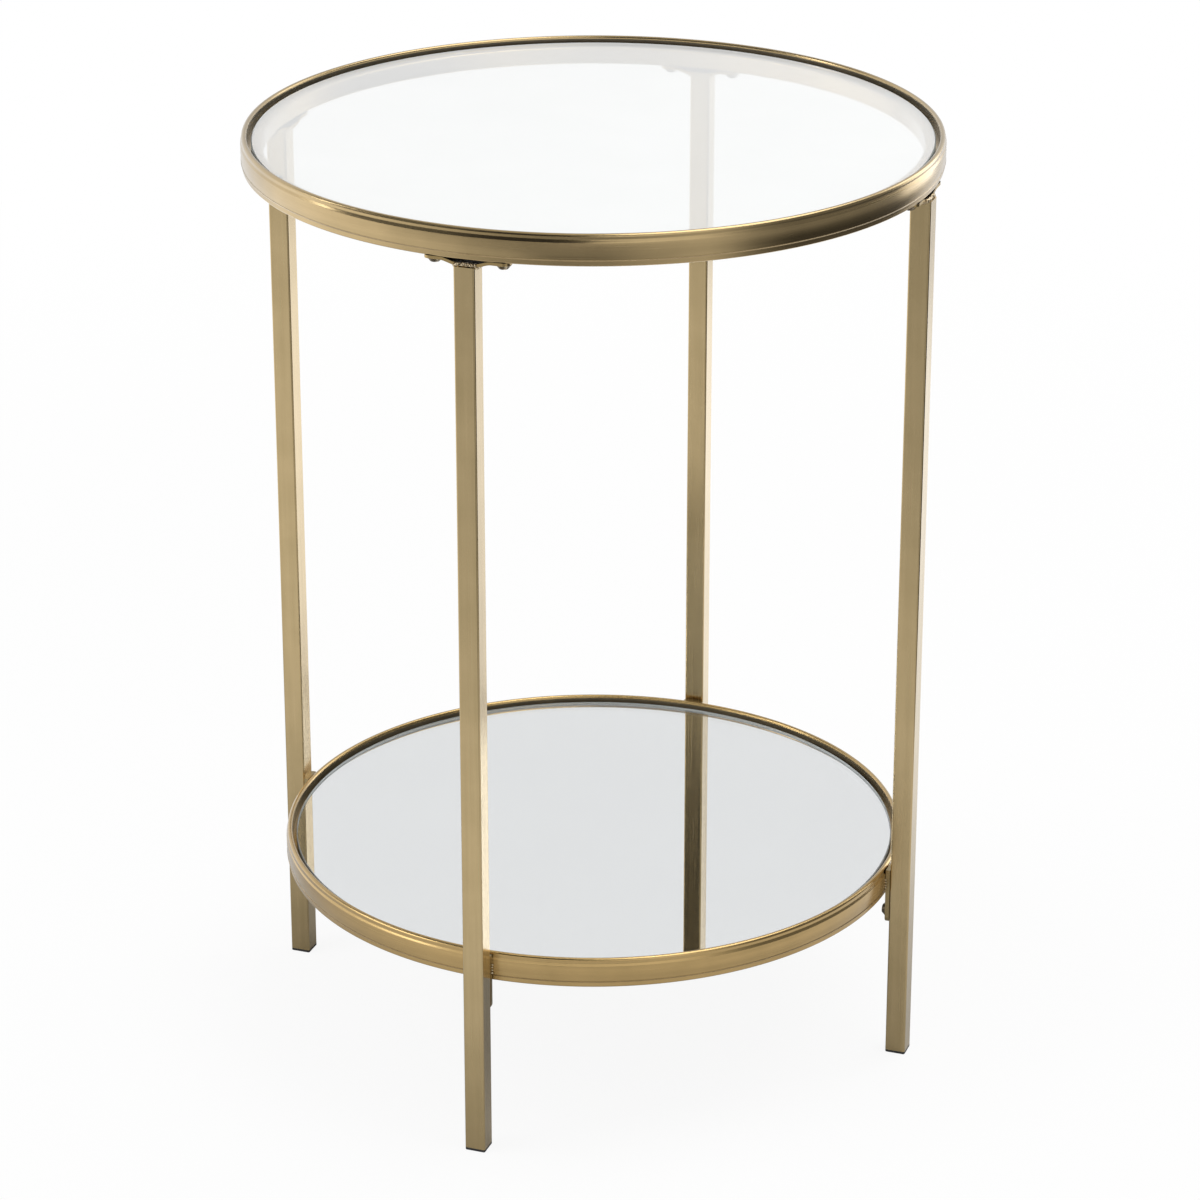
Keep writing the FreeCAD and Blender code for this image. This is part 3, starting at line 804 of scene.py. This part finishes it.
def make_floor():
    """A wide white floor that shows as white as the background and keeps a faint shadow.

    The metal sees it brightest behind the table and dark to the right. From below it is clear,
    so that the table's underside can be seen.
    """
    mesh = bpy.data.meshes.new("floor")
    corners = [(x * FLOOR_HALF, y * FLOOR_HALF, 0) for x, y in ((-1, -1), (1, -1), (1, 1), (-1, 1))]
    mesh.from_pydata(corners, [], [(0, 1, 2, 3)])
    floor = add_object("floor", mesh)
    shader = StudioShader("white_floor")
    place = shader.place()
    distance = shader.node("VectorMath", {0: place}, operation="LENGTH").outputs["Value"]
    near, middle, far = (
        shader.by_azimuth(place, stops) for stops in (NEAR_FLOOR, MIDDLE_FLOOR, FAR_FLOOR)
    )
    # distances in metres from the table's axis
    pool = shader.spread(shader.smooth(distance, 0.6, 1.15), 0.0, 1.0, near, middle)
    pool = shader.spread(shader.smooth(distance, 1.4, 2.0), 0.0, 1.0, pool, far)
    unlit = shader.smooth(shader.along(place, (1, 0, 0)), 0.62, 0.9)
    unlit = shader.math("MULTIPLY", unlit, shader.by_azimuth(place, UNLIT))
    depth = shader.smooth(distance, 2.0, 3.2, 0.92, 0.45)
    minus_depth = shader.math("MULTIPLY", depth, -1.0)
    pool = shader.math("MULTIPLY", pool, shader.math("MULTIPLY_ADD", unlit, minus_depth, 1.0))
    white = shader.seen_white()
    colour = shader.blend(shader.seen_in_gloss(), FLOOR_COLOUR, FLOOR_IN_GLOSS)
    matt = shader.node("BsdfDiffuse", {"Color": shader.blend(white, colour, FLOOR_COLOUR)})
    strength = shader.spread(white, 0.0, 1.0, pool, 1.0)
    glow = shader.node("Emission", {"Color": grey(1), "Strength": strength})
    # how much of the floor is glow rather than matt paint, which takes the table's shadow
    share_in_gloss = shader.smooth(distance, 0.2, 0.65, 0.1, 1.0)
    share_in_gloss = shader.math("MULTIPLY", share_in_gloss, shader.seen_in_gloss())
    share_in_white = shader.smooth(distance, 0.4, 2.0, 0.9, 1.0)
    share = shader.spread(white, 0.0, 1.0, share_in_gloss, share_in_white)
    both = shader.node("MixShader", {0: share, 1: matt.outputs[0], 2: glow.outputs[0]})
    from_below = shader.node("NewGeometry").outputs["Backfacing"]
    clear = shader.node("BsdfTransparent")
    whole = shader.node("MixShader", {0: from_below, 1: both.outputs[0], 2: clear.outputs[0]})
    floor.data.materials.append(shader.finish(whole.outputs[0]))


def make_shade_card():
    """A dark card before the table, over the height of its top, which shows in the metal only."""
    middle = direction(CARD_AZIMUTH) * CARD_DISTANCE + Vector((0, 0, CARD_HEIGHT))
    across = direction(CARD_RUN_AZIMUTH) * CARD_HALF_WIDTH
    up = Vector((0, 0, CARD_HALF_HEIGHT))
    mesh = bpy.data.meshes.new("shade_card")
    right, left = middle + across, middle - across
    mesh.from_pydata([left - up, right - up, right + up, left + up], [], [(0, 1, 2, 3)])
    card = add_object("shade_card", mesh)
    shader = StudioShader("shade_card")
    hidden = shader.math("SUBTRACT", 1.0, shader.seen_white())
    shown = shader.math("MULTIPLY", hidden, shader.seen_in_gloss())
    height = shader.along(shader.place(), (0, 0, 1))
    shown = shader.math("MULTIPLY", shown, shader.smooth(height, *CARD_FADE))
    clear = shader.node("BsdfTransparent")
    dark = shader.node("Emission", {"Color": grey(1), "Strength": CARD_LEVEL})
    both = shader.node("MixShader", {0: shown, 1: clear.outputs[0], 2: dark.outputs[0]})
    card.data.materials.append(shader.finish(both.outputs[0]))


# ---- the table ----

ring_brass = brass("ring_brass", "round", rgb(0.54, 0.392, 0.182), rgb(0.45, 0.325, 0.145))
# the shelf ring's brass is a more saturated copy of the top ring's: painted brass-coloured bounce
# light
shelf_bounce_brass = brass("shelf_bounce_brass", "round", rgb(0.55, 0.372, 0.140), rgb(0.46, 0.308, 0.110))
leg_brass = brass("leg_brass", "up", rgb(0.56, 0.420, 0.207), rgb(0.48, 0.358, 0.167))
# the tabs' brass is a darker copy of the legs': painted shade
shaded_tab_brass = brass("shaded_tab_brass", "up", rgb(0.40, 0.300, 0.145), rgb(0.30, 0.225, 0.105), coat=0.3)
# the brackets' upward faces carry painted shade, nearly black, for the dark gap under the ring
bracket_brass = brass(
    "bracket_brass",
    "round",
    rgb(0.52, 0.378, 0.175),
    rgb(0.42, 0.303, 0.135),
    coat=0.0,
    painted_shade_upward=True,
)
# painted shade for the wall inside each rim: dark, part-metal brass, deeper on the top ring than on
# the shelf
recess_shade_brass = brass(
    "recess_shade_brass",
    "round",
    rgb(0.12, 0.095, 0.06),
    rgb(0.08, 0.064, 0.04),
    coat=0.2,
    metallic=0.4,
)
shelf_recess_shade = brass(
    "shelf_recess_shade",
    "round",
    rgb(0.19, 0.152, 0.095),
    rgb(0.13, 0.104, 0.065),
    coat=0.2,
    metallic=0.4,
)

FINISHES = {
    "leg_": leg_brass,
    "top_bracket": bracket_brass,
    "shelf_tab": shaded_tab_brass,
    "foot_cap": speckled(
        "black_plastic",
        rgb(0.030, 0.029, 0.028),
        rgb(0.016, 0.015, 0.015),
        scale=1500.0,
        roughness=(0.38, 0.55),
        bump_height=0.05 * MM,
    ),
    "bracket_screws": speckled(
        "bronzed_steel",
        rgb(0.20, 0.16, 0.10),
        rgb(0.08, 0.06, 0.04),
        scale=700.0,
        roughness=(0.14, 0.28),
        bump_height=0.02 * MM,
        metallic=1.0,
    ),
    "ring_nuts": speckled(
        "zinc_steel",
        rgb(0.70, 0.71, 0.73),
        rgb(0.55, 0.56, 0.58),
        scale=600.0,
        roughness=(0.25, 0.4),
        bump_height=0.02 * MM,
        metallic=1.0,
    ),
    "glass_pads": speckled(
        "clear_pad",
        rgb(0.95, 0.96, 0.96),
        rgb(0.88, 0.90, 0.90),
        scale=900.0,
        roughness=(0.12, 0.3),
        bump_height=0.02 * MM,
        clear=0.85,
    ),
}
SAME_FINISH = {
    "shelf_screws": "bracket_screws",
    "leg_nuts": "ring_nuts",
    "mirror_pads": "glass_pads",
}


def finish_nodes():
    """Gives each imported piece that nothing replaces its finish, by how its name starts."""
    for name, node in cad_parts.items():
        key = SAME_FINISH.get(name, name)
        for start, material in FINISHES.items():
            if key.startswith(start):
                node.data.materials.clear()
                node.data.materials.append(material)
                break


finish_nodes()
make_ring("top_ring", "glass_pads", ring_brass, recess_shade_brass)
make_ring("shelf_ring", "mirror_pads", shelf_bounce_brass, shelf_recess_shade)
make_glass_top(
    clear_glass("clear_glass", rgb(0.965, 0.985, 0.975), veil=0.62),
    ground_edge("ground_edge", rgb(0.40, 0.43, 0.42), rgb(0.29, 0.32, 0.31), clear=0.3),
)
make_mirror(
    clear_glass("mirror_glass", rgb(0.985, 0.99, 0.99), veil=0.0),
    ground_edge("mirror_edge", rgb(0.46, 0.48, 0.48), rgb(0.36, 0.38, 0.38), clear=0.0),
    silvering(),
    speckled(
        "backing_paint",
        rgb(0.34, 0.35, 0.35),
        rgb(0.28, 0.29, 0.29),
        scale=800.0,
        roughness=(0.5, 0.7),
        bump_height=0.03 * MM,
    ),
)
make_welds(weld_metal())

make_camera()
make_world()
make_floor()
make_shade_card()
soft_lamp("left_softbox", -75, distance=2.0, height=1.3, size=(1.4, 1.6), power=22)
soft_lamp("right_softbox", 125, distance=2.0, height=0.9, size=(1.0, 1.8), power=9)
soft_lamp("top_softbox", 85, distance=0.95, height=2.5, size=(2.2, 1.7), power=28)

bpy.context.scene.view_settings.view_transform = "Standard"
